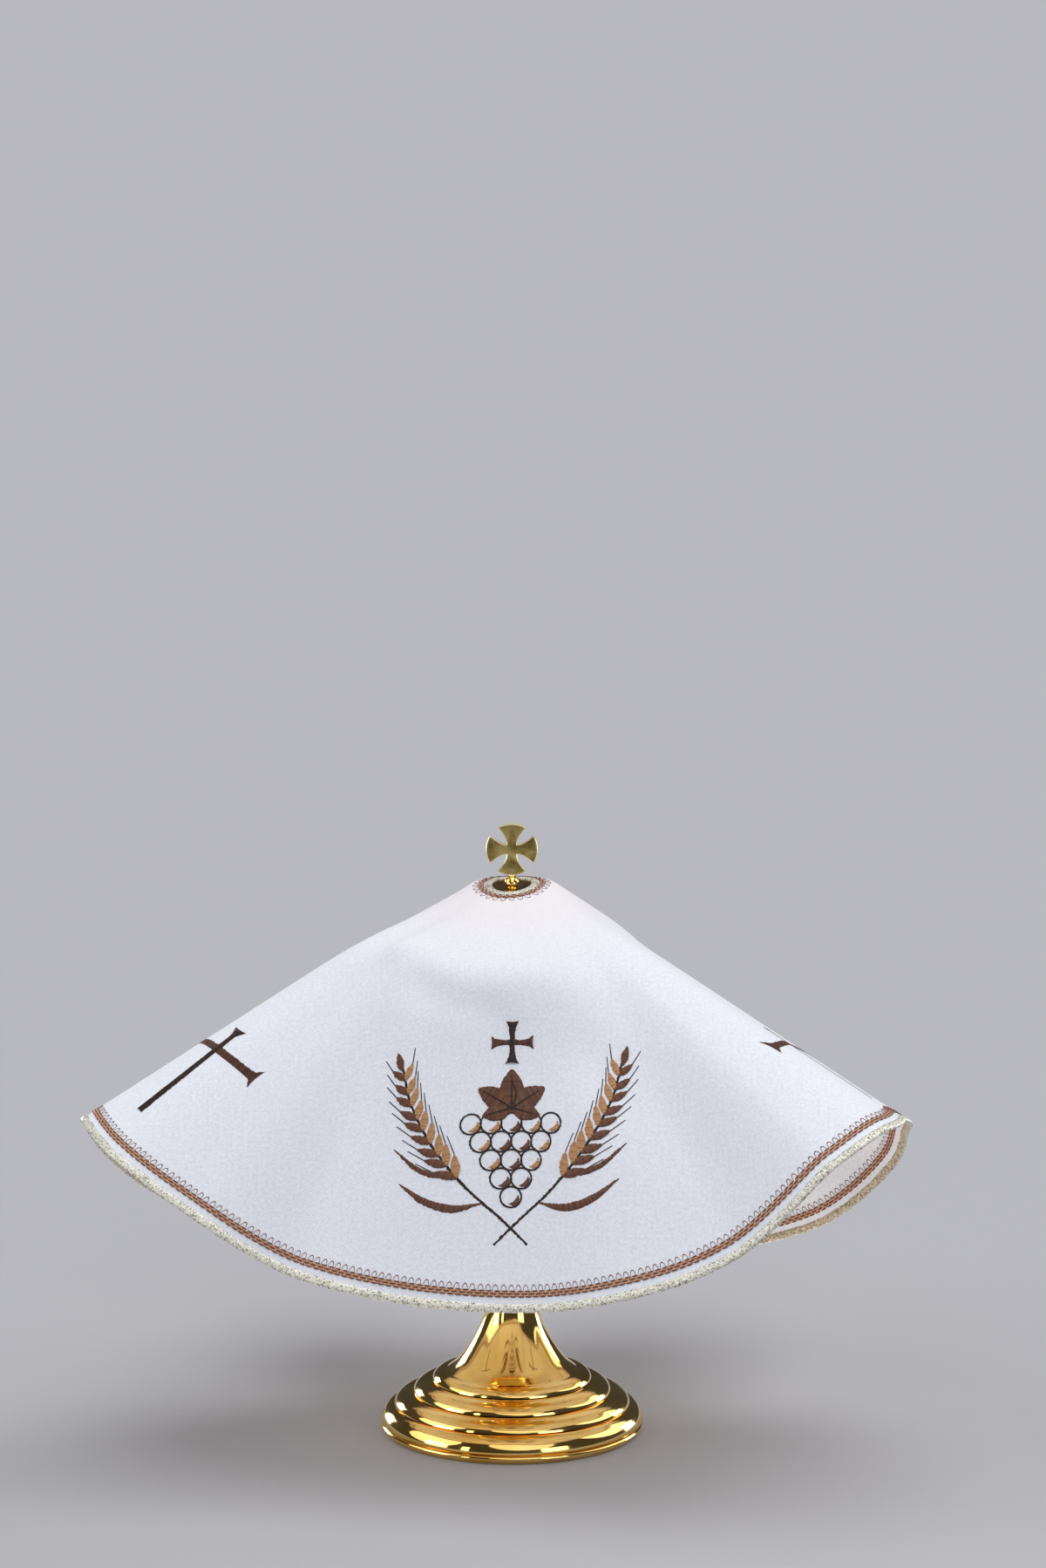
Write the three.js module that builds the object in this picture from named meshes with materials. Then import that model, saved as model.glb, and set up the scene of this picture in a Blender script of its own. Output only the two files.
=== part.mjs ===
// A round ciborium veil, draped over the lidded cup that it covers.
// Millimetres, +Z up, the front towards -Y, the origin at the centre of the foot's flat base.
import * as THREE from 'three';

const VEIL = {
  radius: 225, // flat disc, hole centre to bound hem
  holeRadius: 9, // to the bound edge of the hole
  thickness: 1.2,
  holeHeight: 252.5,
};

// The small flat crown round the hole, tipped down on the side that faces an azimuth.
const CROWN = { slope: 1.5, tippedSlope: 20, dip: 3.6, towards: -15 };

// Distances along the cloth from the hole's edge, between which its slope turns.
const CROWN_BEND = { from: 8, to: 13 };
const LID_BEND = { from: 35, to: 95 };

// The folds, from the front and on towards +X and the back.
// Slopes are degrees below level, over the lid and in the free cloth below it.
// Reach is the share of the flat length that a fold keeps where its cloth is eased or stretched.
const FOLDS = [
  { name: 'front', azimuth: 0, topSlope: 22, hemSlope: 67, reach: 0.983 },
  { name: 'front right', azimuth: 17, topSlope: 21, hemSlope: 58, reach: 1.008 },
  { name: 'right panel', azimuth: 31, topSlope: 22, hemSlope: 45, reach: 1.022 },
  { name: 'right rise', azimuth: 40, topSlope: 21, hemSlope: 27, reach: 1.024 },
  { name: 'right ridge', azimuth: 48, topSlope: 20, hemSlope: 23, reach: 1.02 },
  { name: 'right shoulder', azimuth: 60, topSlope: 24, hemSlope: 27, reach: 0.952 },
  { name: 'right tip', azimuth: 76, topSlope: 31, hemSlope: 33, reach: 0.937 },
  { name: 'right turn', azimuth: 84, topSlope: 33, hemSlope: 41, reach: 0.968 },
  { name: 'right fall', azimuth: 92, topSlope: 34, hemSlope: 59, reach: 0.988 },
  { name: 'right valley', azimuth: 108, topSlope: 34, hemSlope: 78, reach: 0.97 },
  { name: 'back right wing', azimuth: 148, topSlope: 26, hemSlope: 36, reach: 1 },
  { name: 'back valley', azimuth: 182, topSlope: 35, hemSlope: 68, reach: 1 },
  { name: 'back left wing', azimuth: 214, topSlope: 26, hemSlope: 36, reach: 1 },
  { name: 'left valley', azimuth: 246, topSlope: 36, hemSlope: 75, reach: 0.97 },
  { name: 'left fall', azimuth: 264, topSlope: 29, hemSlope: 56, reach: 0.997 },
  { name: 'left turn', azimuth: 275, topSlope: 27, hemSlope: 40, reach: 0.99 },
  { name: 'left ridge', azimuth: 283, topSlope: 22, hemSlope: 31, reach: 0.98 },
  { name: 'left shoulder', azimuth: 292, topSlope: 20, hemSlope: 34, reach: 0.984 },
  { name: 'left panel', azimuth: 305, topSlope: 21, hemSlope: 46, reach: 0.968 },
  { name: 'front left', azimuth: 320, topSlope: 21, hemSlope: 61, reach: 0.977 },
];

const GAP = 0.3; // between pieces that touch
const BINDING = { wall: 0.7, fold: 1.5, hemWidth: 3.5, holeWidth: 3.3 };

const DRAPE_STATIONS = 150; // round the cloth, at equal steps of hem
const HOLE_STATIONS = 60;
const CLOTH_RADII = [16, 22, 36, 54, 72, 94, 130, 172, 208]; // flat radii of the rings between its edges
const HEM_SURVEY = 1440; // fine steps that measure the hem's length
const SECTION_STEP = 1.5; // along a section of the cloth
const PROBE = 0.1; // degrees round the cloth, or mm down it, to either side of a normal

// Rounded tiers of the foot, from the rim up: each curves in from its outer to its inner radius.
const FOOT_TIERS = [
  { outer: 60, inner: 53.5, bottom: 4, top: 12 },
  { outer: 54, inner: 45, bottom: 12, top: 17.5 },
  { outer: 45.3, inner: 36.3, bottom: 17.5, top: 23.2 },
  { outer: 36.5, inner: 29.8, bottom: 23.2, top: 27.8 },
];
const FOOT = { baseRadius: 58.5, stemTop: 99.7, stemRadius: 9.5 };
const TRUMPET = [
  { radius: 29.5, height: 28 },
  { radius: 24.4, height: 32.5 },
  { radius: 17.6, height: 42.5 },
  { radius: 13, height: 52.5 },
  { radius: 10.8, height: 64 },
  { radius: 10.5, height: 72 },
];
const KNOP = { radius: 17, bottom: 75, top: 94 };

// The cup's side from its base up to the rim. Its inside is the same curve, drawn in towards the rim.
const CUP_SIDE = [
  { radius: 11, height: 100 },
  { radius: 30, height: 106 },
  { radius: 48, height: 126 },
  { radius: 55, height: 160 },
  { radius: 54.5, height: 211 },
];
const CUP_HOLLOW = 0.97;

// The lid's dome from its flange up to the boss. Its inside is the same curve, drawn in.
const LID = { bottom: 211.3, flange: 57, shoulder: 215.5, hollow: 0.955 };
const LID_SIDE = [
  { radius: 54, height: 218.5 },
  { radius: 40, height: 232 },
  { radius: 20, height: 243 },
  { radius: 6, height: 247.5 },
];

const FINIAL = { bottom: 247.8, collar: 4.5, collarHeight: 0.8, neck: 1.8, ball: 3.25, ballHeight: 252 };
const CROSS = { radius: 11.7, height: 267.3, thickness: 1.4, bevel: 0.4, waist: 2.15, armEnd: 6.4 };
const CROSS_FLARE = 0.55; // how far out an arm keeps its waist, as a part of its length

const SEGMENTS = { lathe: 36, finial: 24 };
const STEPS = { tier: 3, trumpet: 6, knop: 6, cup: 7, lid: 6, ball: 8, cross: 5 };

const material = (color, roughness, metalness = 0) =>
  new THREE.MeshStandardMaterial({ color, roughness, metalness });
const CLOTH = material(0xe6e8f0, 0.8);
const TRIM = material(0xd2cdaf, 0.45, 0.3);
const GOLD = material(0xd9a441, 0.12, 1);

// A smooth closed curve through one column of the fold table, with no overshoot between its rows.
function foldCurve(column) {
  const row = (i) => FOLDS[(i + FOLDS.length) % FOLDS.length];
  const width = (i) => (row(i + 1).azimuth - row(i).azimuth + 360) % 360;
  const grade = (i) => (row(i + 1)[column] - row(i)[column]) / width(i);
  const tangent = (i) => {
    const before = grade(i - 1);
    const after = grade(i);
    if (before * after <= 0) return 0;
    const nearBefore = 2 * width(i) + width(i - 1);
    const nearAfter = width(i) + 2 * width(i - 1);
    return (nearBefore + nearAfter) / (nearBefore / before + nearAfter / after);
  };
  return (azimuth) => {
    const angle = THREE.MathUtils.euclideanModulo(azimuth, 360);
    const i = FOLDS.findLastIndex((fold) => fold.azimuth <= angle);
    const w = width(i);
    const u = (angle - row(i).azimuth) / w;
    const start = row(i)[column] * (1 + 2 * u) * (1 - u) ** 2 + tangent(i) * w * u * (1 - u) ** 2;
    return start + row(i + 1)[column] * u * u * (3 - 2 * u) + tangent(i + 1) * w * u * u * (u - 1);
  };
}

const topSlope = foldCurve('topSlope');
const hemSlope = foldCurve('hemSlope');
const foldReach = foldCurve('reach');

// A point of the cloth's middle layer, at a flat distance from the hole's edge.
// Each section is walked down from the hole at the slope it has there.
function drapePoint(azimuth, distance) {
  const top = topSlope(azimuth);
  const hem = hemSlope(azimuth);
  const tipped = Math.cos(THREE.MathUtils.degToRad(azimuth - CROWN.towards) / 2) ** 4;
  const crown = CROWN.slope + (CROWN.tippedSlope - CROWN.slope) * tipped;
  const steps = Math.max(1, Math.ceil(distance / SECTION_STEP));
  const step = distance / steps;
  const walked = step * foldReach(azimuth);
  let out = VEIL.holeRadius;
  let height = VEIL.holeHeight - CROWN.dip * tipped;
  for (let i = 0; i < steps; i++) {
    const at = (i + 0.5) * step;
    const crownTurn = THREE.MathUtils.smoothstep(at, CROWN_BEND.from, CROWN_BEND.to);
    const lidTurn = THREE.MathUtils.smoothstep(at, LID_BEND.from, LID_BEND.to);
    const slope = crown + (top - crown) * crownTurn + (hem - top) * lidTurn;
    const angle = THREE.MathUtils.degToRad(slope);
    out += walked * Math.cos(angle);
    height -= walked * Math.sin(angle);
  }
  const turn = THREE.MathUtils.degToRad(azimuth);
  return new THREE.Vector3(out * Math.sin(turn), -out * Math.cos(turn), height);
}

// The same point, moved off the middle layer, outwards where the offset is positive.
function offsetPoint(azimuth, distance, offset) {
  const around = drapePoint(azimuth + PROBE, distance).sub(drapePoint(azimuth - PROBE, distance));
  const down = drapePoint(azimuth, distance + PROBE).sub(drapePoint(azimuth, distance - PROBE));
  const normal = down.cross(around).normalize();
  return drapePoint(azimuth, distance).addScaledVector(normal, offset);
}

// Azimuths at equal steps of length along the hem.
function hemStations(count) {
  const hem = VEIL.radius - VEIL.holeRadius;
  const lengths = [0];
  let last = drapePoint(0, hem);
  for (let i = 1; i <= HEM_SURVEY; i++) {
    const next = drapePoint((360 * i) / HEM_SURVEY, hem);
    lengths.push(lengths[i - 1] + next.distanceTo(last));
    last = next;
  }
  const stations = [];
  for (let k = 0, i = 0; k < count; k++) {
    const target = (lengths[HEM_SURVEY] * k) / count;
    while (lengths[i + 1] < target) i++;
    const part = (target - lengths[i]) / (lengths[i + 1] - lengths[i]);
    stations.push((360 * (i + part)) / HEM_SURVEY);
  }
  return stations;
}

// A closed ring: a closed section of flat radii and offsets, carried round the drape.
function drapedRing(section, stations) {
  const positions = [];
  const triangles = [];
  const count = section.length;
  stations.forEach((azimuth, i) => {
    const next = (i + 1) % stations.length;
    section.forEach(({ radius, offset }, j) => {
      positions.push(...offsetPoint(azimuth, radius - VEIL.holeRadius, offset).toArray());
      const k = (j + 1) % count;
      triangles.push(i * count + j, i * count + k, next * count + j);
      triangles.push(next * count + j, i * count + k, next * count + k);
    });
  });
  const geometry = new THREE.BufferGeometry();
  geometry.setAttribute('position', new THREE.Float32BufferAttribute(positions, 3));
  geometry.setIndex(triangles);
  geometry.computeVertexNormals();
  return geometry;
}

// The one cloth disc, with its edges just inside the bindings.
function veilCloth(stations) {
  const half = VEIL.thickness / 2;
  const edge = BINDING.fold + GAP;
  const radii = [VEIL.holeRadius + edge, ...CLOTH_RADII, VEIL.radius - edge];
  const outside = radii.map((radius) => ({ radius, offset: half }));
  const inside = radii.map((radius) => ({ radius, offset: -half })).reverse();
  return drapedRing([...outside, ...inside], stations);
}

// A folded strip over the cloth's edge, a lip on each face: inward is +1 at the hem, -1 at the hole.
function binding(edgeRadius, width, inward, stations) {
  const inner = VEIL.thickness / 2 + GAP;
  const outer = inner + BINDING.wall;
  const lip = edgeRadius - inward * width;
  const fold = edgeRadius - inward * BINDING.fold;
  const section = [
    { radius: lip, offset: inner },
    { radius: lip, offset: outer },
    { radius: edgeRadius, offset: outer },
    { radius: edgeRadius, offset: -outer },
    { radius: lip, offset: -outer },
    { radius: lip, offset: -inner },
    { radius: fold, offset: -inner },
    { radius: fold, offset: inner },
  ];
  return drapedRing(inward > 0 ? section : section.reverse(), stations);
}

const at = (radius, height) => new THREE.Vector2(radius, height);

// A smooth profile through rows of radius and height.
const spline = (rows, steps) =>
  new THREE.SplineCurve(rows.map(({ radius, height }) => at(radius, height))).getPoints(steps);

// The same rows, drawn in towards a point on the axis.
const drawnIn = (rows, factor, centre) =>
  rows.map(({ radius, height }) => ({
    radius: radius * factor,
    height: centre + (height - centre) * factor,
  }));

// A solid of revolution about Z, from a profile of radius and height.
const turned = (profile, segments = SEGMENTS.lathe) =>
  new THREE.LatheGeometry(profile, segments).rotateX(Math.PI / 2);

// The foot, spun in rounded tiers, with its trumpet, stem and plain knop.
function foot() {
  const quarter = Math.PI / 2;
  const { baseRadius, stemRadius, stemTop } = FOOT;
  const tiers = FOOT_TIERS.flatMap(({ outer, inner, bottom, top }) =>
    new THREE.EllipseCurve(inner, bottom, outer - inner, top - bottom, 0, quarter).getPoints(STEPS.tier),
  );
  const halfHeight = (KNOP.top - KNOP.bottom) / 2;
  const middle = KNOP.bottom + halfHeight;
  const knop = new THREE.EllipseCurve(
    stemRadius, middle, KNOP.radius - stemRadius, halfHeight, -quarter, quarter,
  ).getPoints(STEPS.knop);
  const trumpet = spline(TRUMPET, STEPS.trumpet);
  const stem = [at(stemRadius, stemTop), at(0, stemTop)];
  return turned([at(0, 0), at(baseRadius, 0), ...tiers, ...trumpet, ...knop, ...stem]);
}

// The open cup: its outside up to the rim, then its inside down again.
function cup() {
  const rim = CUP_SIDE.at(-1);
  const outside = spline(CUP_SIDE, STEPS.cup);
  const inside = spline(drawnIn(CUP_SIDE, CUP_HOLLOW, rim.height), STEPS.cup).reverse();
  return turned([at(0, outside[0].y), ...outside, ...inside, at(0, inside.at(-1).y)]);
}

// The domed lid: a flange on the cup's rim and a hollow dome above it.
function lid() {
  const { bottom, flange, shoulder, hollow } = LID;
  const dome = spline(LID_SIDE, STEPS.lid);
  const inside = spline(drawnIn(LID_SIDE, hollow, bottom), STEPS.lid).reverse();
  const rim = [at(inside.at(-1).x, bottom), at(flange, bottom), at(flange, shoulder)];
  return turned([at(0, inside[0].y), ...inside, ...rim, ...dome, at(0, dome.at(-1).y)]);
}

// The finial's collar, neck and ball, under the cross.
function finial() {
  const { bottom, collar, collarHeight, neck, ball, ballHeight } = FINIAL;
  const start = -Math.acos(neck / ball);
  const sphere = new THREE.EllipseCurve(0, ballHeight, ball, ball, start, Math.PI / 2).getPoints(STEPS.ball);
  const shelf = bottom + collarHeight;
  const base = [at(0, bottom), at(collar, bottom), at(collar, shelf), at(neck, shelf)];
  return turned([...base, ...sphere.slice(0, -1), at(0, ballHeight + ball)], SEGMENTS.finial);
}

// A cross of four arms that widen in curves to a common circle.
function finialCross() {
  const { radius, thickness, bevel, waist, armEnd } = CROSS;
  const reach = radius - bevel;
  const corner = armEnd - bevel;
  const neck = waist - bevel;
  const half = Math.asin(corner / reach);
  const tip = reach * Math.cos(half);
  const shape = new THREE.Shape();
  for (let arm = 0; arm < 4; arm++) {
    const turn = (arm * Math.PI) / 2;
    const place = (x, y) => at(x, y).rotateAround(at(0, 0), turn).toArray();
    if (arm === 0) shape.moveTo(...place(neck, -neck));
    shape.quadraticCurveTo(...place(tip * CROSS_FLARE, -neck), ...place(tip, -corner));
    shape.absarc(0, 0, reach, turn - half, turn + half);
    shape.quadraticCurveTo(...place(tip * CROSS_FLARE, neck), ...place(neck, neck));
  }
  const geometry = new THREE.ExtrudeGeometry(shape, {
    depth: thickness,
    bevelThickness: bevel,
    bevelSize: bevel,
    bevelSegments: 1,
    curveSegments: STEPS.cross,
  });
  return geometry.translate(0, 0, -thickness / 2).rotateX(Math.PI / 2);
}

const group = new THREE.Group();

function addPiece(name, geometry, look) {
  const mesh = new THREE.Mesh(geometry, look);
  mesh.name = name;
  group.add(mesh);
  return mesh;
}

const stations = hemStations(DRAPE_STATIONS);
const holeStations = hemStations(HOLE_STATIONS);
addPiece('veil_cloth', veilCloth(stations), CLOTH);
addPiece('hem_binding', binding(VEIL.radius, BINDING.hemWidth, 1, stations), TRIM);
addPiece('hole_binding', binding(VEIL.holeRadius, BINDING.holeWidth, -1, holeStations), TRIM);
addPiece('foot', foot(), GOLD);
addPiece('cup', cup(), GOLD);
addPiece('lid', lid(), GOLD);
addPiece('finial', finial(), GOLD);
addPiece('finial_cross', finialCross(), GOLD).position.z = CROSS.height;

export default group;
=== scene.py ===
import math
import random

import bmesh
import bpy
import numpy as np
from mathutils import Matrix, Vector


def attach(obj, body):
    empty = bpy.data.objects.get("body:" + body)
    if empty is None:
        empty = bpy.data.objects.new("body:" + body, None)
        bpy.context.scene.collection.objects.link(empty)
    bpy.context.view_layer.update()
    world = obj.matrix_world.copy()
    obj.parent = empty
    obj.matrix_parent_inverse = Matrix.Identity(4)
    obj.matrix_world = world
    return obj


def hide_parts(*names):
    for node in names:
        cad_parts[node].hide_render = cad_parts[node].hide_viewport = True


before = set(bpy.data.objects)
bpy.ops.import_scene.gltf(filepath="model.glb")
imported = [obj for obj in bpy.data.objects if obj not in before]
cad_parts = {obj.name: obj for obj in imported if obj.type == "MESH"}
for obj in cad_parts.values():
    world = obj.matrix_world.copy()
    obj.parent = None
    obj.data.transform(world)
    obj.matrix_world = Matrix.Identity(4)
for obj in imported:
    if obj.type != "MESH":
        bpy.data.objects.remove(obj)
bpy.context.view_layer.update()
mm = 0.001
print("frame loaded:", ", ".join(sorted(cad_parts)))

scene = bpy.context.scene
scene.view_settings.view_transform = "Standard"

# camera at the photograph's angle
cameraView = {"place": (0.005, -1.653, 0.4896), "pitch": 6.65, "lens": 85, "film": 36}


def makeCamera():
    data = bpy.data.cameras.new("camera")
    data.lens = cameraView["lens"]
    data.sensor_fit = "VERTICAL"
    data.sensor_height = cameraView["film"]
    camera = bpy.data.objects.new("camera", data)
    camera.location = cameraView["place"]
    camera.rotation_euler = (math.radians(90 - cameraView["pitch"]), 0, 0)
    scene.collection.objects.link(camera)
    scene.camera = camera


makeCamera()
print("camera set")


# node helpers

def addNode(tree, kind, **settings):
    node = tree.nodes.new(kind)
    for key, value in settings.items():
        setattr(node, key, value)
    return node


def feed(tree, socket, value):
    if isinstance(value, bpy.types.NodeSocket):
        tree.links.new(value, socket)
    else:
        socket.default_value = value


def calc(tree, operation, first, second=None):
    node = addNode(tree, "ShaderNodeMath", operation=operation)
    feed(tree, node.inputs[0], first)
    if second is not None:
        feed(tree, node.inputs[1], second)
    return node.outputs[0]


def scaled(tree, vector, factors):
    node = addNode(tree, "ShaderNodeVectorMath", operation="MULTIPLY")
    feed(tree, node.inputs[0], vector)
    feed(tree, node.inputs[1], factors)
    return node.outputs[0]


def noise(tree, vector, scale, detail=2.0):
    node = addNode(tree, "ShaderNodeTexNoise")
    feed(tree, node.inputs["Vector"], vector)
    feed(tree, node.inputs["Scale"], scale)
    node.inputs["Detail"].default_value = detail
    return node.outputs["Fac"]


def parts(tree, vector):
    node = addNode(tree, "ShaderNodeSeparateXYZ")
    feed(tree, node.inputs[0], vector)
    return node.outputs


def vectorOf(tree, x, y, z=0.0):
    node = addNode(tree, "ShaderNodeCombineXYZ")
    for socket, value in zip(node.inputs, (x, y, z)):
        feed(tree, socket, value)
    return node.outputs[0]


def ramp(tree, mask, stops):
    node = addNode(tree, "ShaderNodeValToRGB")
    feed(tree, node.inputs[0], mask)
    band = node.color_ramp
    while len(band.elements) < len(stops):
        band.elements.new(0.5)
    for element, (place, color) in zip(band.elements, stops):
        element.position = place
        element.color = (*color, 1)
    return node.outputs[0]


def spanned(tree, mask, low, high, toLow, toHigh):
    node = addNode(tree, "ShaderNodeMapRange")
    for socket, value in zip(node.inputs, (mask, low, high, toLow, toHigh)):
        feed(tree, socket, value)
    return node.outputs[0]


def bump(tree, height, distance, strength=1.0):
    node = addNode(tree, "ShaderNodeBump")
    node.inputs["Distance"].default_value = distance
    node.inputs["Strength"].default_value = strength
    feed(tree, node.inputs["Height"], height)
    return node.outputs[0]


def makeGroup(name, inputs, outputs):
    tree = bpy.data.node_groups.new(name, "ShaderNodeTree")
    for label, kind, value in inputs:
        socket = tree.interface.new_socket(label, in_out="INPUT", socket_type=kind)
        if value is not None:
            socket.default_value = value
    for label in outputs:
        tree.interface.new_socket(label, in_out="OUTPUT", socket_type="NodeSocketFloat")
    return tree, addNode(tree, "NodeGroupInput").outputs, addNode(tree, "NodeGroupOutput").inputs


def placeGroup(tree, group, **values):
    node = addNode(tree, "ShaderNodeGroup", node_tree=group)
    for label, value in values.items():
        feed(tree, node.inputs[label], value)
    return node.outputs


# plain weave: crossing threads, with slubs along both ways and an even grain
def makeWeaveGroup():
    tree, given, result = makeGroup(
        "plain weave",
        [("Vector", "NodeSocketVector", None), ("Threads", "NodeSocketFloat", 500.0)],
        ["Height", "Slub"],
    )
    spread = scaled(tree, given["Vector"], vectorOf(tree, given["Threads"], given["Threads"]))
    across, along, _ = parts(tree, spread)
    warp = calc(tree, "SINE", calc(tree, "MULTIPLY", across, math.pi))
    weft = calc(tree, "SINE", calc(tree, "MULTIPLY", along, math.pi))
    crossing = calc(tree, "MULTIPLY", warp, weft)
    slub = 0.0
    for stretch, share in (((0.6, 0.05, 1), 0.2), ((0.05, 0.6, 1), 0.15), ((0.55, 0.55, 1), 0.65)):
        streak = noise(tree, scaled(tree, spread, stretch), 1.0, 3.0)
        slub = calc(tree, "ADD", calc(tree, "MULTIPLY", streak, share), slub)
    feed(tree, result["Height"], calc(tree, "ADD", calc(tree, "MULTIPLY", crossing, 0.4), slub))
    feed(tree, result["Slub"], slub)
    return tree


# satin stitch: threads laid side by side across a stroke
def makeSatinGroup():
    tree, given, result = makeGroup(
        "satin thread",
        [("Vector", "NodeSocketVector", None), ("Threads", "NodeSocketFloat", 240.0)],
        ["Height", "Shade"],
    )
    across, along, _ = parts(tree, given["Vector"])
    rows = calc(tree, "MULTIPLY", along, given["Threads"])
    roundness = calc(tree, "ABSOLUTE", calc(tree, "SINE", calc(tree, "MULTIPLY", rows, math.pi)))
    pick = addNode(tree, "ShaderNodeTexWhiteNoise", noise_dimensions="1D")
    feed(tree, pick.inputs["W"], calc(tree, "FLOOR", rows))
    streak = noise(tree, vectorOf(tree, calc(tree, "MULTIPLY", across, 3.0), rows), 1.3)
    shade = calc(
        tree, "ADD", calc(tree, "MULTIPLY", pick.outputs[0], 0.45), calc(tree, "MULTIPLY", streak, 0.55)
    )
    feed(tree, result["Height"], roundness)
    feed(tree, result["Shade"], shade)
    return tree


# metal thread: small cells that catch the light one by one, as painted glints in the base colour
def makeGlintGroup():
    tree, given, result = makeGroup(
        "metal thread painted glint",
        [("Vector", "NodeSocketVector", None), ("Cells", "NodeSocketFloat", 700.0)],
        ["Height", "Glint"],
    )
    cells = addNode(tree, "ShaderNodeTexVoronoi")
    feed(tree, cells.inputs["Vector"], given["Vector"])
    feed(tree, cells.inputs["Scale"], given["Cells"])
    red = addNode(tree, "ShaderNodeSeparateColor")
    feed(tree, red.inputs[0], cells.outputs["Color"])
    feed(tree, result["Height"], calc(tree, "SUBTRACT", 1.0, cells.outputs["Distance"]))
    feed(tree, result["Glint"], red.outputs[0])
    return tree


# spun metal: fine rings from the lathe, and a film of handling
def makeSpinGroup():
    tree, given, result = makeGroup(
        "spun metal",
        [("Vector", "NodeSocketVector", None), ("Rings", "NodeSocketFloat", 900.0)],
        ["Height", "Film"],
    )
    x, y, z = parts(tree, given["Vector"])
    radius = calc(tree, "SQRT", calc(tree, "ADD", calc(tree, "MULTIPLY", x, x), calc(tree, "MULTIPLY", y, y)))
    rings = noise(tree, vectorOf(tree, radius, 0.0, z), given["Rings"], 3.0)
    feed(tree, result["Height"], rings)
    feed(tree, result["Film"], noise(tree, given["Vector"], 38.0, 4.0))
    return tree


weaveGroup = makeWeaveGroup()
satinGroup = makeSatinGroup()
glintGroup = makeGlintGroup()
spinGroup = makeSpinGroup()


def startMaterial(name):
    material = bpy.data.materials.new(name)
    material.use_nodes = True
    tree = material.node_tree
    return material, tree, tree.nodes["Principled BSDF"].inputs


def flatPlace(tree):
    return addNode(tree, "ShaderNodeUVMap", uv_map="flat").outputs[0]


def objectPlace(tree):
    return addNode(tree, "ShaderNodeTexCoord").outputs["Object"]


clothLook = {
    "bright": (0.835, 0.855, 0.91),
    "dull": (0.735, 0.755, 0.815),
    # colour of the painted glow of the gilt lid through the cloth
    "lidGlowColour": (0.84, 0.785, 0.80),
    "threads": 560.0,
    "grain": (0.38, 0.6),
    "sheen": 0.12,
    "smooth": 0.74,
    "rough": 0.9,
    # strength and reach of that painted glow
    "lidGlow": 0.8,
    "lidGlowReach": (0.05, 0.17),
}


def makeClothMaterial():
    material, tree, shader = startMaterial("white cloth")
    place = flatPlace(tree)
    weave = placeGroup(tree, weaveGroup, Vector=place, Threads=clothLook["threads"])
    low, high = clothLook["grain"]
    tone = ramp(tree, weave["Slub"], [(low, clothLook["dull"]), (high, clothLook["bright"])])
    # painted glow: a warm tint painted into the base colour round the hole, where the gilt lid shows faintly
    # through the cloth that lies on it
    u, v, _ = parts(tree, place)
    reach = calc(tree, "SQRT", calc(
        tree, "ADD",
        calc(tree, "POWER", calc(tree, "SUBTRACT", u, 0.5), 2.0),
        calc(tree, "POWER", calc(tree, "SUBTRACT", v, 0.5), 2.0),
    ))
    lidGlow = spanned(tree, reach, *clothLook["lidGlowReach"], clothLook["lidGlow"], 0.0)
    mix = addNode(tree, "ShaderNodeMix", data_type="RGBA")
    feed(tree, mix.inputs[0], lidGlow)
    feed(tree, mix.inputs[6], tone)
    mix.inputs[7].default_value = (*clothLook["lidGlowColour"], 1)
    feed(tree, shader["Base Color"], mix.outputs[2])
    roughness = spanned(tree, weave["Slub"], 0.3, 0.7, clothLook["smooth"], clothLook["rough"])
    feed(tree, shader["Roughness"], roughness)
    feed(tree, shader["Normal"], bump(tree, weave["Height"], 0.00012, 0.6))
    shader["Sheen Weight"].default_value = clothLook["sheen"]
    shader["Sheen Roughness"].default_value = 0.5
    return material


def makeThreadMaterial(name, dark, light):
    material, tree, shader = startMaterial(name)
    place = addNode(tree, "ShaderNodeUVMap", uv_map="thread").outputs[0]
    thread = placeGroup(tree, satinGroup, Vector=place, Threads=240.0)
    feed(tree, shader["Base Color"], ramp(tree, thread["Shade"], [(0.25, dark), (0.75, light)]))
    feed(tree, shader["Roughness"], spanned(tree, thread["Shade"], 0.2, 0.8, 0.62, 0.4))
    feed(tree, shader["Normal"], bump(tree, thread["Height"], 0.00018, 0.7))
    shader["Specular IOR Level"].default_value = 0.3
    return material


# twisted sewing thread, read on the flat plane of the cloth
def makeStitchMaterial(name, dark, light):
    material, tree, shader = startMaterial(name)
    grain = noise(tree, flatPlace(tree), 900.0, 2.0)
    twist = noise(tree, flatPlace(tree), 2600.0, 1.0)
    feed(tree, shader["Base Color"], ramp(tree, grain, [(0.36, dark), (0.64, light)]))
    feed(tree, shader["Roughness"], spanned(tree, twist, 0.3, 0.7, 0.4, 0.62))
    feed(tree, shader["Normal"], bump(tree, twist, 0.0001, 0.6))
    return material


trimLook = {
    # outside: the thread's champagne tone, spread from dark to near white by painted glints
    "outside": [
        (0.0, (0.15, 0.14, 0.10)), (0.1, (0.40, 0.38, 0.29)), (0.28, (0.68, 0.655, 0.54)),
        (0.65, (0.86, 0.845, 0.74)), (1.0, (0.98, 0.975, 0.91)),
    ],
    # the underside: a darker, warmer copy of the same thread, painted shade
    "shadedUnderside": [
        (0.0, (0.20, 0.16, 0.10)), (0.3, (0.46, 0.38, 0.26)), (0.7, (0.66, 0.57, 0.42)),
        (1.0, (0.86, 0.78, 0.62)),
    ],
    "cells": 860.0,
}


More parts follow.
